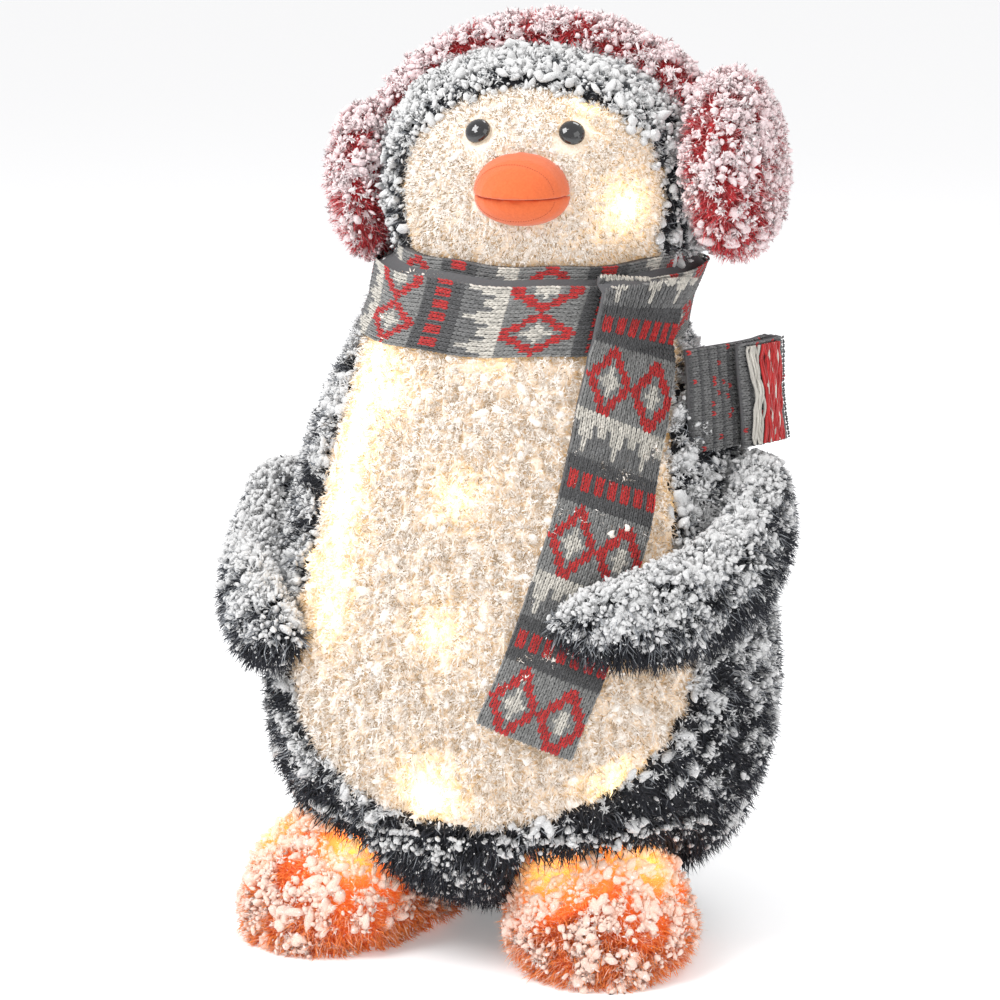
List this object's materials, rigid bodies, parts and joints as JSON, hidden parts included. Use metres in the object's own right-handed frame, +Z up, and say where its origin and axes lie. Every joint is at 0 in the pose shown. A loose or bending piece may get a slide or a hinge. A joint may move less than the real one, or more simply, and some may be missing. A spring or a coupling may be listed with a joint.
{
  "type": "plush penguin",
  "caption": "Standing plush penguin on a wire frame with snow-flocked pile, inner lamps, knitted scarf, earmuffs, hinged flippers and a battery case.",
  "frame": {"origin": "on the ground at the middle of the figure's footprint box", "axes": "+Z up, -Y the way the penguin faces, +X to the viewer's right when it is seen from the front"},
  "size_m": [0.3673, 0.3343, 0.6091],
  "materials": {
    "black_pile": "long black tinsel pile with white flock",
    "cream_pile": "short cream pile with glitter",
    "eye_gloss": "polished",
    "white_plastic": "moulded",
    "orange_felt": "brushed felt",
    "red_pile": "red tinsel pile with white flock",
    "scarf_knit": "jacquard knit",
    "orange_pile": "orange tinsel pile with white flock",
    "lamp_glass": "clear warm lamp",
    "lamp_holder": "moulded",
    "green_lead": "flexible insulation",
    "black_plastic": "fine moulded texture",
    "pale_plastic": "moulded",
    "cell_wrap": "printed sleeve, plain colour",
    "plated_brass": "plated",
    "board_green": "solder mask",
    "zinc_steel": "zinc-coated wire",
    "bright_steel": "plated"
  },
  "bodies": {
    "root": {"back_cover": "black_pile", "base_cover": "black_pile", "belly_panel": "cream_pile", "body_hoops": "zinc_steel", "body_ribs": "zinc_steel", "foot_bridge": "zinc_steel", "neck_plate": "zinc_steel", "hood_cover": "black_pile", "face_panel": "cream_pile", "head_frame": "zinc_steel", "left_eye": "eye_gloss", "right_eye": "eye_gloss", "eye_washers": "white_plastic", "upper_beak": "orange_felt", "lower_beak": "orange_felt", "left_earmuff": "red_pile", "right_earmuff": "red_pile", "earmuff_discs": "white_plastic", "headband": "red_pile", "headband_core": "zinc_steel", "scarf": "scarf_knit", "left_shoulder_bush": "white_plastic", "left_shoulder_bracket": "zinc_steel", "right_shoulder_bush": "white_plastic", "right_shoulder_bracket": "zinc_steel", "left_foot_cover": "orange_pile", "left_foot_frame": "zinc_steel", "right_foot_cover": "orange_pile", "right_foot_frame": "zinc_steel", "lamp_bulbs": "lamp_glass", "lamp_holders": "lamp_holder", "lamp_rings": "white_plastic", "light_lead": "green_lead", "battery_case": "black_plastic", "door_hinge_pin": "bright_steel", "cells": "cell_wrap", "cell_springs": "bright_steel", "contact_plates": "plated_brass", "control_board": "board_green", "case_bracket": "zinc_steel", "case_screws": "bright_steel"},
    "left_flipper": {"left_flipper_cover": "black_pile", "left_flipper_frame": "zinc_steel", "left_shoulder_pin": "bright_steel", "left_pin_nut": "bright_steel"},
    "right_flipper": {"right_flipper_cover": "black_pile", "right_flipper_frame": "zinc_steel", "right_shoulder_pin": "bright_steel", "right_pin_nut": "bright_steel"},
    "battery_door": {"battery_door": "black_plastic"},
    "power_switch": {"switch_knob": "pale_plastic"}
  },
  "joints": [
    {"name": "left_flipper_swing", "type": "hinge", "parent": "root", "child": "left_flipper", "pos_m": [0.003, 0.0025, 0.27402], "axis": [-1, 0, 0], "range_deg": [0, 35]},
    {"name": "right_flipper_swing", "type": "hinge", "parent": "root", "child": "right_flipper", "pos_m": [0.003, 0.0025, 0.2902], "axis": [-1, 0, 0], "range_deg": [0, 25]},
    {"name": "battery_door_hinge", "type": "hinge", "parent": "root", "child": "battery_door", "pos_m": [0.003, 0.1551, 0.114], "axis": [-1, 0, 0], "range_deg": [0, 100]},
    {"name": "power_switch_slide", "type": "slide", "parent": "root", "child": "power_switch", "axis": [0, 0, 1], "range_m": [-0.003, 0.003]}
  ]
}
